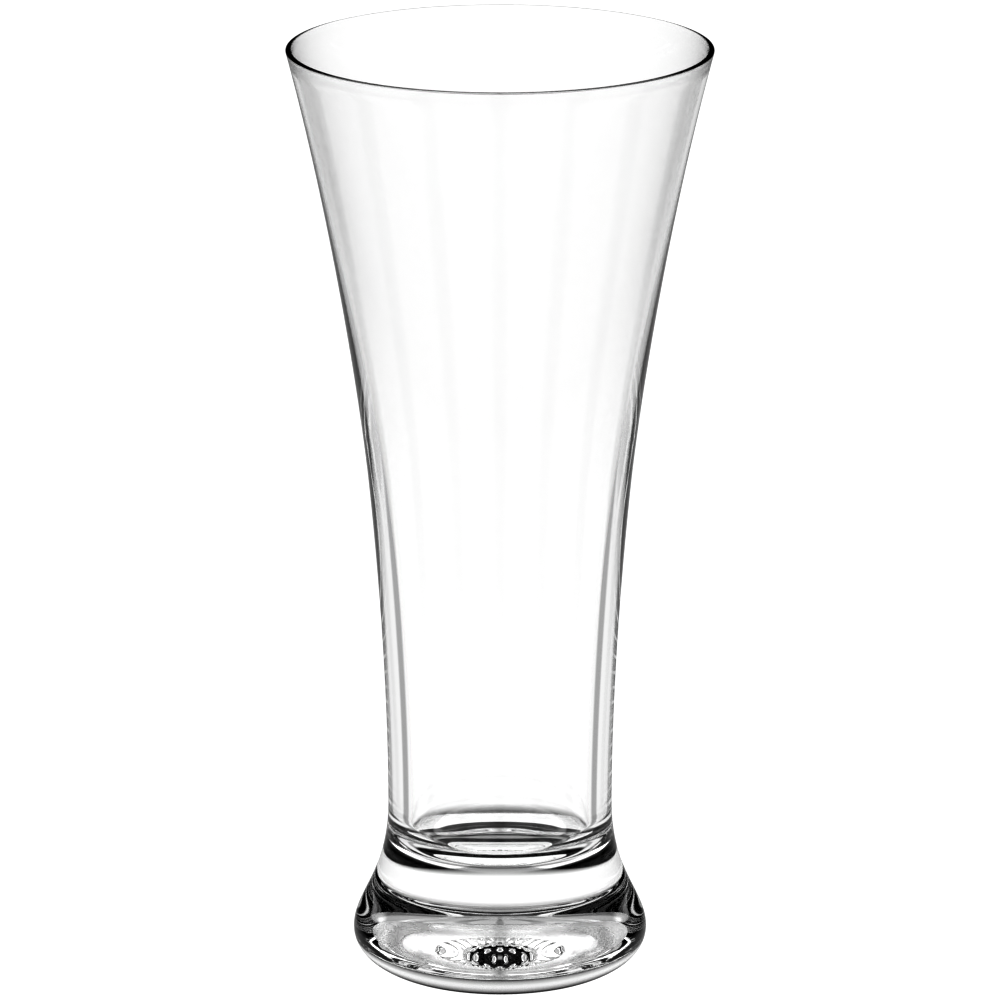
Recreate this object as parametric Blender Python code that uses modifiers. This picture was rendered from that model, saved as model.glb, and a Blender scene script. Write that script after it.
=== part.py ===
"""Flared pint glass: one turned body of clear pressed glass.

The frame is +Z up, with the origin on the table at the glass's own axis. The glass is a single
piece: a heavy foot with a shallow hollow under it, a narrow waist, a wall that thins as it flares
upwards, and a fire-polished lip. Its section is worked out below and turned once about +Z.
"""
import bpy
from math import cos, exp, pi, sin
from mathutils import Vector
from mathutils.geometry import interpolate_bezier

# Driving dimensions, in metres.
HEIGHT = 0.205              # table to the top of the lip
RIM_RADIUS = 0.0457         # outside of the lip
RIM_FLARE = 0.262           # outward lean of the wall at the lip, radius gained per height
BODY_RADIUS = 0.0281        # outside of the wall half way up
BODY_HEIGHT = 0.1074
BODY_FLARE = 0.099
WAIST_RADIUS = 0.0243       # the narrowest place, just above the foot
WAIST_HEIGHT = 0.0378
FOOT_RADIUS = 0.0319        # the widest place of the foot
FOOT_HEIGHT = 0.0095
REST_OUTER_RADIUS = 0.0189  # flat ring that stands on the table
REST_INNER_RADIUS = 0.0170
STEP_RADIUS = 0.0163        # low step inside the standing ring
STEP_DEPTH = 0.0004
PUNT_RADIUS = 0.0085        # round hollow in the middle of the underside
PUNT_DEPTH = 0.0030
FLOOR_HEIGHT = 0.0268       # inside of the glass, at the axis
FLOOR_FILLET = 0.0085       # round between the floor and the wall inside
LIP_THICKNESS = 0.0014      # the melted bead is a little thicker than the wall below it

# How far each curve's handles reach from its ends, going down the outside.
RIM_REACH = 0.0313
BODY_UP_REACH = 0.0248
BODY_DOWN_REACH = 0.0210
WAIST_UP_REACH = 0.0226
WAIST_DOWN_REACH = 0.0168
FOOT_UP_REACH = 0.0065
FOOT_DOWN_REACH = 0.0071
REST_REACH = 0.0029

# Wall thickness, measured level: thick in the shank, thin in the flare.
RIM_WALL = 0.00085
SHANK_WALL = 0.0035         # what the shank has on top of that
SHANK_HEIGHT = 0.100        # where the shank's wall is that thick
WALL_LEAN = 0.010           # thickness gained for each metre below that
THINNING_HEIGHT = 0.125     # half way from the thick wall to the thin one
THINNING_SPAN = 0.018

TURN_STEPS = 64
MERGE_DISTANCE = 0.00001
FLARE_STEPS = 9
SHANK_STEPS = 7
SHOULDER_STEPS = 8
HEEL_STEPS = 7
INSIDE_STEPS = 13
ROUND_STEPS = 6
PUNT_STEPS = 4


def clear_scene():
    for scene_object in list(bpy.data.objects):
        bpy.data.objects.remove(scene_object, do_unlink=True)


def curve(start, start_handle, end_handle, end, count):
    """Points of one Bezier span, without its last point."""
    ends = [Vector((radius, 0.0, height)) for radius, height in (start, start_handle, end_handle, end)]
    return [(point.x, point.z) for point in interpolate_bezier(*ends, count + 1)[:-1]]


def arc(centre, radius, start_angle, end_angle, count):
    """Points of a round stretch, both ends included; angles are counted from +X towards +Z."""
    angles = [start_angle + (end_angle - start_angle) * step / count for step in range(count + 1)]
    return [(centre[0] + radius * cos(angle), centre[1] + radius * sin(angle)) for angle in angles]


def outer_outline():
    """Outside of the glass as (radius, height), from the lip down to the ring that it stands on."""
    rim = (RIM_RADIUS, HEIGHT - LIP_THICKNESS / 2)
    body = (BODY_RADIUS, BODY_HEIGHT)
    waist = (WAIST_RADIUS, WAIST_HEIGHT)
    foot = (FOOT_RADIUS, FOOT_HEIGHT)
    rest = (REST_OUTER_RADIUS, 0.0)
    below_rim = (rim[0] - RIM_FLARE * RIM_REACH, rim[1] - RIM_REACH)
    above_body = (body[0] + BODY_FLARE * BODY_UP_REACH, body[1] + BODY_UP_REACH)
    below_body = (body[0] - BODY_FLARE * BODY_DOWN_REACH, body[1] - BODY_DOWN_REACH)
    above_waist = (waist[0], waist[1] + WAIST_UP_REACH)
    below_waist = (waist[0], waist[1] - WAIST_DOWN_REACH)
    above_foot = (foot[0], foot[1] + FOOT_UP_REACH)
    below_foot = (foot[0], foot[1] - FOOT_DOWN_REACH)
    beside_rest = (rest[0] + REST_REACH, 0.0)
    flare = curve(rim, below_rim, above_body, body, FLARE_STEPS)
    shank = curve(body, below_body, above_waist, waist, SHANK_STEPS)
    shoulder = curve(waist, below_waist, above_foot, foot, SHOULDER_STEPS)
    heel = curve(foot, below_foot, beside_rest, rest, HEEL_STEPS)
    return flare + shank + shoulder + heel + [rest]


def radius_at(outline, height):
    """Outside radius at a height above the foot, read along the outline."""
    for (upper_radius, upper), (lower_radius, lower) in zip(outline, outline[1:]):
        if lower <= height <= upper:
            share = (height - lower) / (upper - lower)
            return lower_radius + share * (upper_radius - lower_radius)
    return outline[0][0]


def wall_at(height):
    """Wall thickness at a height: slowly easing in the shank, then thinning into the flare."""
    shank_share = 1 / (1 + exp((height - THINNING_HEIGHT) / THINNING_SPAN))
    lean = WALL_LEAN * (SHANK_HEIGHT - height)
    return RIM_WALL + shank_share * (SHANK_WALL + lean)


def inner_outline(outline):
    """Inside of the glass, from the axis at the floor up to just under the lip."""
    start = FLOOR_HEIGHT + FLOOR_FILLET
    side = radius_at(outline, start) - wall_at(start)
    fillet = arc((side - FLOOR_FILLET, start), FLOOR_FILLET, -pi / 2, 0.0, ROUND_STEPS)
    top = HEIGHT - 4 * LIP_THICKNESS
    heights = [start + (top - start) * step / INSIDE_STEPS for step in range(1, INSIDE_STEPS + 1)]
    wall = [(radius_at(outline, height) - wall_at(height), height) for height in heights]
    return [(0.0, FLOOR_HEIGHT)] + fillet + wall


def lip_outline():
    """The rounded top of the lip, from its inside to its outside."""
    bead = LIP_THICKNESS / 2
    return arc((RIM_RADIUS - bead, HEIGHT - bead), bead, pi, 0.0, ROUND_STEPS)[:-1]


def underside_outline():
    """Underside from the standing ring to the axis: a low flat step, then a shallow round hollow."""
    rise = PUNT_DEPTH - STEP_DEPTH
    sphere_radius = (PUNT_RADIUS ** 2 + rise ** 2) / (2 * rise)
    centre_height = PUNT_DEPTH - sphere_radius
    radii = [PUNT_RADIUS * (1 - step / PUNT_STEPS) for step in range(PUNT_STEPS + 1)]
    punt = [(radius, centre_height + (sphere_radius ** 2 - radius ** 2) ** 0.5) for radius in radii]
    return [(REST_INNER_RADIUS, 0.0), (STEP_RADIUS, STEP_DEPTH)] + punt


def glass_material():
    material = bpy.data.materials.new("clear_glass")
    material.use_nodes = True
    shader = material.node_tree.nodes["Principled BSDF"]
    shader.inputs["Base Color"].default_value = (0.97, 0.98, 0.98, 1.0)
    shader.inputs["Roughness"].default_value = 0.02
    shader.inputs["Metallic"].default_value = 0.0
    shader.inputs["IOR"].default_value = 1.52
    shader.inputs["Transmission Weight"].default_value = 1.0
    return material


def turned_body(name, section, material):
    """Turn a section of (radius, height) points once about +Z into one closed body."""
    mesh = bpy.data.meshes.new(name)
    points = [(radius, 0.0, height) for radius, height in section]
    edges = [(index, index + 1) for index in range(len(points) - 1)]
    mesh.from_pydata(points, edges, [])
    mesh.materials.append(material)
    body = bpy.data.objects.new(name, mesh)
    turn = body.modifiers.new("turn", 'SCREW')
    turn.axis = 'Z'
    turn.angle = 2 * pi
    turn.steps = TURN_STEPS
    turn.render_steps = TURN_STEPS
    turn.use_merge_vertices = True
    turn.merge_threshold = MERGE_DISTANCE
    turn.use_smooth_shade = True
    return body


def build():
    clear_scene()
    collection = bpy.data.collections.new("pint_glass")
    bpy.context.scene.collection.children.link(collection)
    outline = outer_outline()
    section = inner_outline(outline) + lip_outline() + outline + underside_outline()
    collection.objects.link(turned_body("glass_body", section, glass_material()))


build()
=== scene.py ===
"""Looks of the flared pint glass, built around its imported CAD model.

The CAD node is turned in flat steps, so it is replaced here by the same section turned finely, with the
fire-polished lip, the smoothly thinning wall, the rounded floor and the frosted, dimpled underside of a
pressed glass. Lengths are in metres, +Z is up, and the glass stands at z = 0.
"""
import math
from bisect import bisect_left
import bpy
import bmesh
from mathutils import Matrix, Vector
from mathutils.geometry import interpolate_bezier


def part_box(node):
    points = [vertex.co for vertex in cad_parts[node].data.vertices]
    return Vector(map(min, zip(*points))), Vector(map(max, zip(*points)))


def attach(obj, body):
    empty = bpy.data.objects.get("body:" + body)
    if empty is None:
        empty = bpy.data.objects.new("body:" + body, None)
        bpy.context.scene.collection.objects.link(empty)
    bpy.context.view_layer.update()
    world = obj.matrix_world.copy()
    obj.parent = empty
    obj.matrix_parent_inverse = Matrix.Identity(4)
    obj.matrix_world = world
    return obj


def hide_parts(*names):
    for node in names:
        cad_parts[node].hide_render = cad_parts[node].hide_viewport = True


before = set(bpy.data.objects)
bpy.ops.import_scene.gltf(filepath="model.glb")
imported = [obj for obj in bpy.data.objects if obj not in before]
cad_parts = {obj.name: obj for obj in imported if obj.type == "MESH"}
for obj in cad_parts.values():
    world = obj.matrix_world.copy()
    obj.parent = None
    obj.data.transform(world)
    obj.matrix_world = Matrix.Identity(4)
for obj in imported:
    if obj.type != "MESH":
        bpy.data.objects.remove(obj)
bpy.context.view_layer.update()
LOW, HIGH = (Vector(corner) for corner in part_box("glass_body"))
HEIGHT = HIGH.z - LOW.z
RIM_RADIUS = (HIGH.x - LOW.x) / 2

# Outside of the glass. A flare is the radius gained per height.
RIM_FLARE = 0.262
BODY_RADIUS = 0.0281
BODY_HEIGHT = 0.1074
BODY_FLARE = 0.099
WAIST_RADIUS = 0.0243
WAIST_HEIGHT = 0.0378
FOOT_RADIUS = 0.0319
FOOT_HEIGHT = 0.0095
REST_OUTER_RADIUS = 0.0189

# Reach of the curve handles, from the lip down to the standing ring.
RIM_REACH = 0.0313
BODY_UP_REACH = 0.0248
BODY_DOWN_REACH = 0.0210
WAIST_UP_REACH = 0.0226
WAIST_DOWN_REACH = 0.0167
FOOT_UP_REACH = 0.0065
FOOT_DOWN_REACH = 0.0071
REST_REACH = 0.0029

# Lip: nearly flat across the wall, and a little thicker than the wall just below it.
LIP_THICKNESS = 0.0012
LIP_CROWN = 0.0005          # how far its top stands proud
LIP_SQUARENESS = 4.0        # 2 is round, and more is squarer
LIP_TAPER = 0.0016          # height over which the wall thickens into it

# Inside of the glass: a level floor, a round, and a wall measured level.
FLOOR_HEIGHT = 0.0268
FLOOR_FILLET = 0.0085
RIM_WALL = 0.00085
BODY_WALL = 0.0035          # what the shank has on top of that
BODY_WALL_HEIGHT = 0.100    # where the shank's wall is that thick
WALL_LEAN = 0.010           # thickness gained for each metre below that
THINNING_HEIGHT = 0.125     # half way from the thick wall to the thin one
THINNING_SPAN = 0.018

# Unevenness of the inside. Each wave is its share, lobes round the wall, turn per metre up, and start.
WAVES = ((1.0, 2, 18.0, 0.9), (0.6, 3, -31.0, -0.4),
         (0.25, 5, 95.0, 0.0), (0.2, 2, 140.0, -math.pi / 2))
WAVE_DEPTH = 0.000012
WAVE_AT_FLOOR = 0.3         # share of the waves left at the foot of the wall

# Underside, from the standing ring to the axis.
REST_EDGE = 0.0002          # narrow borders that keep the standing ring's shading flat
REST_INNER_RADIUS = 0.0170
STEP_RADIUS = 0.0163
STEP_DEPTH = 0.0004
PUNT_RADIUS = 0.0085
PUNT_DEPTH = 0.0030
DIMPLE_RADIUS = 0.0006
DIMPLE_DEPTH = 0.00015
DIMPLE_PITCH = 0.0018
DIMPLE_ROW = 0.866          # distance between staggered rows, against the pitch
RIB_COUNT = 60
RIB_DEPTH = 0.00012
RIB_REACH = 0.0040
RIB_RISE = 0.25             # share of the reach in which a rib gains its height

# How finely each stretch of the section is divided.
FLARE_STEPS = 60
SHANK_STEPS = 40
SHOULDER_STEPS = 48
HEEL_STEPS = 36
FLOOR_STEPS = 12
FILLET_STEPS = 24
WALL_STEPS = 160
LIP_STEPS = 28
UNDERSIDE_STEPS = 30
PUNT_STEPS = 40
LOOKUP_FINENESS = 20        # times finer, where the outline is only read
TURN_STEPS = 360
AXIS_RADIUS = 1e-7          # nearer than this to the axis, a ring is one point

# Glass.
GLASS_IOR = 1.52
FROST_ROUGHNESS = (0.16, 0.40)      # the clearest and the most frosted patches under the foot
FROST_PATCHES = 260.0
PATCH_LEVELS = (0.35, 0.65)
FROST_FADE = (0.0010, 0.0014)       # heights between which the frosting ends
FROST_INNER_RADIUS = 0.0120
FROST_OUTER_RADIUS = 0.0205
FLOW_SCALE = (70.0, 70.0, 18.0)
FLOW_STRENGTH = 0.04
FLOW_DEPTH = 0.0002

# Floor.
FLOOR_REACH = 40.0
FLOOR_GAP = 0.0002          # the floor lies just under the glass
FLOOR_SEEN = 1.12
UNDER_FOOT = 0.0215         # out to here, the floor is as bright for bent light as for direct light
SHADOW_SCALE = 0.1
# Painted shadow: a dark ring beside the foot, for light bent by the glass, then clear further out.
FOOT_SHADOW = ((0.0, 0.0), (0.29, 0.0), (0.31, 1.0), (1.0, 1.0))    # clearness by radius / SHADOW_SCALE

# Surround: grey by degrees above the horizon, for light that passes through and for mirrored light.
SKY_SEEN = ((-90, 1.0), (-75, 1.0), (-66, 0.0), (-55, 0.0), (-37, 1.12),
            (0, 1.12), (6, 0.75), (26, 0.0), (90, 0.0))
SKY_MIRRORED = ((-90, 1.0), (-15, 1.0), (-8, 0.0), (28, 0.0),
                (31, 2.5), (38, 2.5), (42, 0.9), (90, 0.6))
PANEL_COUNT = 8
PANEL_EDGES = (0.5, 0.85)   # how a gap between panels sets in, as a cosine
PANEL_GAP = 0.50            # brightness in a gap
BARE_SHADE = 0.50           # brightness of what the bare outside mirrors

# Counts of a light path's turns are whole numbers, tested with room to spare.
SURELY_ONE = 0.5            # more than this is at least 1
COUNT_MARGIN = 0.1
IN_AND_OUT = 2.0            # surfaces that light crosses when it is mirrored inside the wall

# Sockets of a colour Mix node.
MIX_FIRST = 6
MIX_SECOND = 7
MIX_RESULT = 2

# Camera: degrees looking down, and distance and aim in glass heights.
CAMERA_TILT = 14.79
CAMERA_DISTANCE = 10.0
CAMERA_AIM = 0.5138
CAMERA_REACH = 100.0
SENSOR_WIDTH = 36.0
LENS_LENGTH = 341.8
VIEW_GAMMA = 0.6
BOUNCES = 32


def span(start, start_handle, end_handle, end, count):
    """Points of one Bezier span, without its last point."""
    ends = [Vector((radius, 0.0, height)) for radius, height in (start, start_handle, end_handle, end)]
    return [(point.x, point.z) for point in interpolate_bezier(*ends, count + 1)[:-1]]


def arc(centre, radius, start_angle, end_angle, count):
    """Points of a round stretch, both ends included."""
    turns = [start_angle + (end_angle - start_angle) * step / count for step in range(count + 1)]
    return [(centre[0] + radius * math.cos(turn), centre[1] + radius * math.sin(turn)) for turn in turns]


def smooth(low, high, value):
    """0 up to low, 1 from high on, and an even S between them."""
    share = min(max((value - low) / (high - low), 0.0), 1.0)
    return share * share * (3.0 - 2.0 * share)


def outer_outline(fineness=1):
    """Outside as (radius, height), from the lip down to the ring that it stands on."""
    rim = (RIM_RADIUS, HEIGHT - LIP_THICKNESS / 2)
    body = (BODY_RADIUS, BODY_HEIGHT)
    waist = (WAIST_RADIUS, WAIST_HEIGHT)
    foot = (FOOT_RADIUS, FOOT_HEIGHT)
    rest = (REST_OUTER_RADIUS, 0.0)
    below_rim = (rim[0] - RIM_FLARE * RIM_REACH, rim[1] - RIM_REACH)
    above_body = (body[0] + BODY_FLARE * BODY_UP_REACH, body[1] + BODY_UP_REACH)
    below_body = (body[0] - BODY_FLARE * BODY_DOWN_REACH, body[1] - BODY_DOWN_REACH)
    above_waist = (waist[0], waist[1] + WAIST_UP_REACH)
    below_waist = (waist[0], waist[1] - WAIST_DOWN_REACH)
    above_foot = (foot[0], foot[1] + FOOT_UP_REACH)
    below_foot = (foot[0], foot[1] - FOOT_DOWN_REACH)
    beside_rest = (rest[0] + REST_REACH, 0.0)
    flare = span(rim, below_rim, above_body, body, FLARE_STEPS * fineness)
    shank = span(body, below_body, above_waist, waist, SHANK_STEPS * fineness)
    shoulder = span(waist, below_waist, above_foot, foot, SHOULDER_STEPS * fineness)
    heel = span(foot, below_foot, beside_rest, rest, HEEL_STEPS * fineness)
    return flare + shank + shoulder + heel + [rest]


def outer_radius():
    """A lookup of the outside radius at a height, read from a finely divided outline."""
    points = sorted((height, radius) for radius, height in outer_outline(LOOKUP_FINENESS))
    heights = [height for height, radius in points]

    def at(height):
        index = min(max(bisect_left(heights, height), 1), len(points) - 1)
        (low, first), (high, second) = points[index - 1], points[index]
        return first + (second - first) * (height - low) / (high - low)

    return at


def wall(height):
    """Wall thickness, measured level: thick and slowly easing in the shank, thin in the flare."""
    thick = 1.0 / (1.0 + math.exp((height - THINNING_HEIGHT) / THINNING_SPAN))
    bead = smooth(HEIGHT - LIP_TAPER - LIP_THICKNESS, HEIGHT - LIP_THICKNESS, height)
    lean = WALL_LEAN * (BODY_WALL_HEIGHT - height)
    return RIM_WALL + thick * (BODY_WALL + lean) + bead * (LIP_THICKNESS - RIM_WALL)


def inner_outline():
    """Inside, from the floor's centre out, round and up to just under the lip."""
    radius_at = outer_radius()
    start = FLOOR_HEIGHT + FLOOR_FILLET
    flat = radius_at(start) - wall(start) - FLOOR_FILLET
    floor = [(flat * step / FLOOR_STEPS, FLOOR_HEIGHT) for step in range(FLOOR_STEPS)]
    fillet = arc((flat, start), FLOOR_FILLET, -math.pi / 2, 0.0, FILLET_STEPS)
    top = HEIGHT - LIP_THICKNESS
    heights = [start + (top - start) * step / WALL_STEPS for step in range(1, WALL_STEPS + 1)]
    return floor + fillet + [(radius_at(height) - wall(height), height) for height in heights]


def lip_outline():
    """The lip from its inside to its outside: nearly flat across the wall, with melted corners."""
    lean = math.atan(RIM_FLARE)
    half = LIP_THICKNESS / 2
    middle = (RIM_RADIUS - half * math.cos(lean), HEIGHT - half + half * math.sin(lean))
    points = []
    for step in range(LIP_STEPS):
        turn = math.pi * (1 - step / LIP_STEPS)
        across = half * math.copysign(abs(math.cos(turn)) ** (2 / LIP_SQUARENESS), math.cos(turn))
        rise = LIP_CROWN * math.sin(turn) ** (2 / LIP_SQUARENESS)
        points.append((middle[0] + across * math.cos(lean) + rise * math.sin(lean),
                       middle[1] - across * math.sin(lean) + rise * math.cos(lean)))
    return points


def underside():
    """From the standing ring to the axis: a low flat step, then a small round hollow."""
    ring_radii = (REST_OUTER_RADIUS - REST_EDGE, REST_INNER_RADIUS + REST_EDGE, REST_INNER_RADIUS)
    ring = [(radius, 0.0) for radius in ring_radii]
    width = PUNT_RADIUS - STEP_RADIUS
    step = [(STEP_RADIUS + width * part / UNDERSIDE_STEPS, STEP_DEPTH) for part in range(UNDERSIDE_STEPS)]
    rise = PUNT_DEPTH - STEP_DEPTH
    shares = [part / PUNT_STEPS for part in range(PUNT_STEPS + 1)]
    hollow = [(PUNT_RADIUS * (1 - share), STEP_DEPTH + rise * (1 - (1 - share) ** 2)) for share in shares]
    return ring + step + hollow


def wave(angle, height):
    """Slight unevenness of the inside, left where the plunger pressed it."""
    return WAVE_DEPTH * sum(share * math.cos(lobes * angle + turn * height + start)
                            for share, lobes, turn, start in WAVES)


def dimple(across, along):
    """Height of the staggered dimples under the foot, at a place measured from the axis."""
    spacing = DIMPLE_PITCH * DIMPLE_ROW
    row = round(along / spacing)
    shift = 0.5 * DIMPLE_PITCH * (row % 2)
    column = round((across - shift) / DIMPLE_PITCH)
    away = math.hypot(across - shift - column * DIMPLE_PITCH, along - row * spacing)
    return DIMPLE_DEPTH * (1 - smooth(0.0, DIMPLE_RADIUS, away))


def rib(radius, angle):
    """Height of the short radial ribs round the hollow."""
    edge = RIB_RISE * RIB_REACH
    rise = smooth(PUNT_RADIUS - edge, PUNT_RADIUS + edge, radius)
    fall = smooth(PUNT_RADIUS + edge, PUNT_RADIUS + RIB_REACH, radius)
    return RIB_DEPTH * rise * (1 - fall) * (0.5 + 0.5 * math.cos(RIB_COUNT * angle))


def shaped(radius, height, angle, inside):
    """One place on the surface, with the inside's waves and the underside's dimples and ribs."""
    if inside and FLOOR_HEIGHT + FLOOR_FILLET < height < HEIGHT - 2 * LIP_THICKNESS:
        settle = smooth(FLOOR_HEIGHT + FLOOR_FILLET, BODY_HEIGHT, height)
        radius += wave(angle, height) * (WAVE_AT_FLOOR + (1 - WAVE_AT_FLOOR) * settle)
    across = radius * math.cos(angle)
    along = radius * math.sin(angle)
    if not inside and radius < PUNT_RADIUS:
        height += dimple(across, along)
    if not inside and radius < PUNT_RADIUS + RIB_REACH:
        height += rib(radius, angle)
    return (across, along, height)


def turned(name, inner, outer):
    """Turn (radius, height) points about +Z into one closed body with its faces pointing out."""
    body = bmesh.new()
    rings = []
    angles = [2 * math.pi * step / TURN_STEPS for step in range(TURN_STEPS)]
    for place, (radius, height) in enumerate(inner + outer):
        inside = place < len(inner)
        if radius < AXIS_RADIUS:
            rings.append([body.verts.new(shaped(0.0, height, 0.0, inside))] * TURN_STEPS)
            continue
        rings.append([body.verts.new(shaped(radius, height, angle, inside)) for angle in angles])
    for first, second in zip(rings, rings[1:]):
        for step in range(TURN_STEPS):
            after = (step + 1) % TURN_STEPS
            corners = []
            for corner in (first[step], first[after], second[after], second[step]):
                if corner not in corners:
                    corners.append(corner)
            body.faces.new(corners)
    bmesh.ops.recalc_face_normals(body, faces=body.faces)
    mesh = bpy.data.meshes.new(name)
    body.to_mesh(mesh)
    body.free()
    mesh.shade_smooth()
    piece = bpy.data.objects.new(name, mesh)
    bpy.context.scene.collection.objects.link(piece)
    return piece


def add(tree, kind, **settings):
    """A new node with its settings."""
    node = tree.nodes.new(kind)
    for key, value in settings.items():
        setattr(node, key, value)
    return node


def feed(tree, sockets, values):
    """Join an output to each socket in turn, or set the socket to a plain value."""
    for socket, value in zip(sockets, values):
        if isinstance(value, bpy.types.NodeSocket):
            tree.links.new(value, socket)
        else:
            socket.default_value = value


def calculated(tree, operation, *values):
    """Result of a Math node."""
    node = add(tree, "ShaderNodeMath", operation=operation)
    feed(tree, node.inputs, values)
    return node.outputs[0]


def multiplied(tree, first, second):
    """Two vectors or colours, multiplied part by part."""
    node = add(tree, "ShaderNodeVectorMath", operation='MULTIPLY')
    feed(tree, node.inputs, (first, second))
    return node.outputs[0]


def length(tree, vector):
    """Length of a vector."""
    node = add(tree, "ShaderNodeVectorMath", operation='LENGTH')
    tree.links.new(vector, node.inputs[0])
    return node.outputs["Value"]


def eased(tree, value, low, high, start, end):
    """Start up to low, end from high on, and a straight line between them."""
    node = add(tree, "ShaderNodeMapRange")
    names = ("Value", "From Min", "From Max", "To Min", "To Max")
    feed(tree, [node.inputs[name] for name in names], (value, low, high, start, end))
    return node.outputs[0]


def noise(tree, place, scale):
    """Soft noise at a place."""
    node = add(tree, "ShaderNodeTexNoise")
    node.inputs["Scale"].default_value = scale
    tree.links.new(place, node.inputs["Vector"])
    return node.outputs[0]


def ramp(tree, value, stops):
    """A grey ramp through (position, grey) stops."""
    node = add(tree, "ShaderNodeValToRGB")
    elements = node.color_ramp.elements
    for index, (position, grey) in enumerate(stops):
        element = elements[index] if index < 2 else elements.new(position)
        element.position = position
        element.color = (grey, grey, grey, 1.0)
    tree.links.new(value, node.inputs[0])
    return node.outputs[0]


def frosting(tree, place):
    """Roughness: uneven patches in a ring low on the foot, and polished elsewhere."""
    split = add(tree, "ShaderNodeSeparateXYZ")
    level = add(tree, "ShaderNodeCombineXYZ")
    tree.links.new(place, split.inputs[0])
    feed(tree, level.inputs, (split.outputs["X"], split.outputs["Y"]))
    patches = eased(tree, noise(tree, place, FROST_PATCHES), *PATCH_LEVELS, *FROST_ROUGHNESS)
    fade_start, fade_end = (LOW.z + height for height in FROST_FADE)
    low = eased(tree, split.outputs["Z"], fade_start, fade_end, patches, 0.0)
    middle = (FROST_OUTER_RADIUS + FROST_INNER_RADIUS) / 2
    half_width = (FROST_OUTER_RADIUS - FROST_INNER_RADIUS) / 2
    ring = calculated(tree, 'COMPARE', length(tree, level.outputs[0]), middle, half_width)
    return calculated(tree, 'MULTIPLY', low, ring)


def clear_glass():
    """Colourless glass, frosted under the foot, with faint flow marks in its surface."""
    material = bpy.data.materials.new("clear_glass")
    material.use_nodes = True
    tree = material.node_tree
    shader = tree.nodes["Principled BSDF"]
    shader.inputs["Base Color"].default_value = (1.0, 1.0, 1.0, 1.0)
    shader.inputs["IOR"].default_value = GLASS_IOR
    shader.inputs["Transmission Weight"].default_value = 1.0
    place = add(tree, "ShaderNodeTexCoord").outputs["Object"]
    flow = add(tree, "ShaderNodeBump")
    flow.inputs["Strength"].default_value = FLOW_STRENGTH
    flow.inputs["Distance"].default_value = FLOW_DEPTH
    tree.links.new(noise(tree, multiplied(tree, place, FLOW_SCALE), 1.0), flow.inputs["Height"])
    tree.links.new(flow.outputs[0], shader.inputs["Normal"])
    tree.links.new(frosting(tree, place), shader.inputs["Roughness"])
    return material


def mirrored(tree, path):
    """1 for light that some surface of the glass has mirrored, 0 for light that only passed through."""
    return calculated(tree, 'GREATER_THAN', path.outputs["Glossy Depth"], SURELY_ONE)


def faint_reflection(tree, path):
    """1 for light mirrored once by a bare surface, 0 for light mirrored inside the wall's own thickness."""
    once = calculated(tree, 'COMPARE', path.outputs["Glossy Depth"], 1.0, COUNT_MARGIN)
    within = calculated(tree, 'COMPARE', path.outputs["Transmission Depth"], IN_AND_OUT, COUNT_MARGIN)
    return calculated(tree, 'SUBTRACT', once, within)


def pale_floor():
    """Evenly bright under direct light. Light bent by the glass meets that brightness only right under
    the foot: a narrow ring beside it is painted dark as a painted shadow of the foot, and further out
    such light goes on through the floor.
    """
    material = bpy.data.materials.new("pale_floor")
    material.use_nodes = True
    tree = material.node_tree
    tree.nodes.clear()
    path = add(tree, "ShaderNodeLightPath")
    bent = calculated(tree, 'GREATER_THAN', path.outputs["Ray Depth"], SURELY_ONE)
    distance = length(tree, add(tree, "ShaderNodeTexCoord").outputs["Object"])
    beyond = calculated(tree, 'GREATER_THAN', distance, UNDER_FOOT)
    glow = add(tree, "ShaderNodeEmission")
    glow.inputs["Strength"].default_value = FLOOR_SEEN
    clear = add(tree, "ShaderNodeBsdfTransparent")
    # Painted shadow: bent light meeting the floor in a ring beside the foot is darkened by this ramp.
    shadow = ramp(tree, calculated(tree, 'DIVIDE', distance, SHADOW_SCALE), FOOT_SHADOW)
    tree.links.new(shadow, clear.inputs["Color"])
    choice = add(tree, "ShaderNodeMixShader")
    away = calculated(tree, 'MULTIPLY', bent, beyond)
    feed(tree, choice.inputs, (away, glow.outputs[0], clear.outputs[0]))
    tree.links.new(choice.outputs[0], add(tree, "ShaderNodeOutputMaterial").inputs["Surface"])
    return material


def white_stage():
    """A wide pale table top, just under the glass."""
    mesh = bpy.data.meshes.new("floor")
    level = LOW.z - FLOOR_GAP
    signs = ((-1, -1), (1, -1), (1, 1), (-1, 1))
    corners = [(across * FLOOR_REACH, along * FLOOR_REACH, level) for across, along in signs]
    mesh.from_pydata(corners, [], [(0, 1, 2, 3)])
    mesh.materials.append(pale_floor())
    floor = bpy.data.objects.new("floor", mesh)
    bpy.context.scene.collection.objects.link(floor)


def sky_stops(stops):
    """Degrees above the horizon turned into positions on a ramp from straight down to straight up."""
    return [((math.sin(math.radians(angle)) + 1) / 2, grey) for angle, grey in stops]


def panel_light(tree, split):
    """Brightness of the even ring of panels round the glass, dimmer in the gaps between them."""
    round_about = calculated(tree, 'ARCTAN2', split.outputs["Y"], split.outputs["X"])
    swing = calculated(tree, 'COSINE', calculated(tree, 'MULTIPLY', round_about, PANEL_COUNT))
    return eased(tree, swing, *PANEL_EDGES, 1.0, PANEL_GAP)


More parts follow.
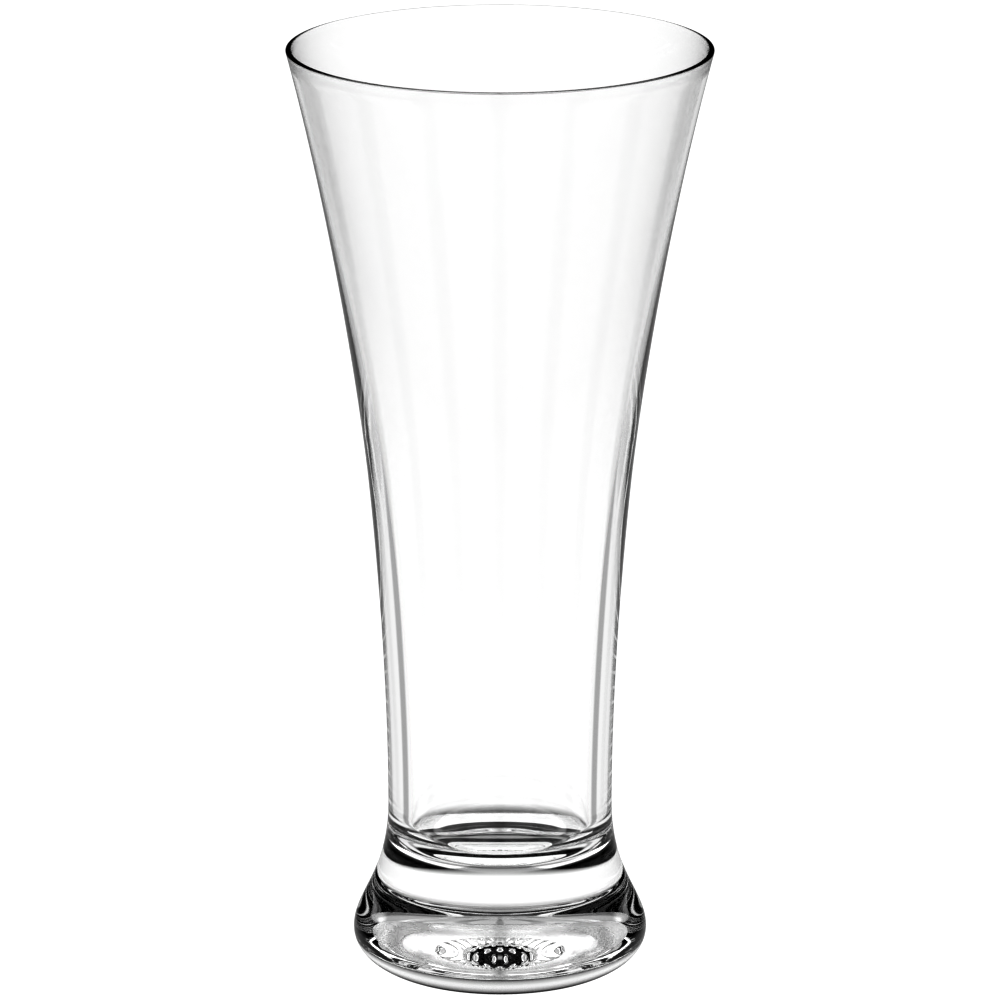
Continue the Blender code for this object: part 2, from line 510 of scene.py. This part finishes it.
def studio_light():
    """Level bands of light and shade, one set for light that passes through and one for mirrored light."""
    world = bpy.data.worlds.new("studio")
    bpy.context.scene.world = world
    world.use_nodes = True
    tree = world.node_tree
    path = add(tree, "ShaderNodeLightPath")
    split = add(tree, "ShaderNodeSeparateXYZ")
    tree.links.new(add(tree, "ShaderNodeTexCoord").outputs["Generated"], split.inputs[0])
    height = eased(tree, split.outputs["Z"], -1.0, 1.0, 0.0, 1.0)
    seen = ramp(tree, height, sky_stops(SKY_SEEN))
    reflected = ramp(tree, height, sky_stops(SKY_MIRRORED))
    panels = calculated(tree, 'MAXIMUM', panel_light(tree, split), faint_reflection(tree, path))
    bare = eased(tree, path.outputs["Transmission Depth"], 0.0, 1.0, BARE_SHADE, 1.0)
    lit = multiplied(tree, reflected, calculated(tree, 'MULTIPLY', panels, bare))
    choice = add(tree, "ShaderNodeMix", data_type='RGBA')
    tree.links.new(mirrored(tree, path), choice.inputs["Factor"])
    tree.links.new(seen, choice.inputs[MIX_FIRST])
    tree.links.new(lit, choice.inputs[MIX_SECOND])
    tree.links.new(choice.outputs[MIX_RESULT], tree.nodes["Background"].inputs["Color"])


def camera():
    """Looks down a little from the front, from ten glass heights away."""
    tilt = math.radians(CAMERA_TILT)
    distance = CAMERA_DISTANCE * HEIGHT
    aim = LOW.z + CAMERA_AIM * HEIGHT
    lens = bpy.data.cameras.new("camera")
    lens.sensor_width = SENSOR_WIDTH
    lens.lens = LENS_LENGTH
    lens.clip_end = CAMERA_REACH
    eye = bpy.data.objects.new("camera", lens)
    eye.location = (0.0, -distance * math.cos(tilt), aim + distance * math.sin(tilt))
    eye.rotation_euler = (math.pi / 2 - tilt, 0.0, 0.0)
    bpy.context.scene.collection.objects.link(eye)
    bpy.context.scene.camera = eye


def view():
    """A plain view with deeper midtones, and light followed through many turns in the glass."""
    scene = bpy.context.scene
    scene.view_settings.view_transform = 'Standard'
    scene.view_settings.gamma = VIEW_GAMMA
    scene.cycles.max_bounces = BOUNCES
    scene.cycles.glossy_bounces = BOUNCES
    scene.cycles.transmission_bounces = BOUNCES


glass = turned("pint_glass", inner_outline(), lip_outline() + outer_outline() + underside())
glass.data.materials.append(clear_glass())
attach(glass, "root")
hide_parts("glass_body")
white_stage()
studio_light()
camera()
view()
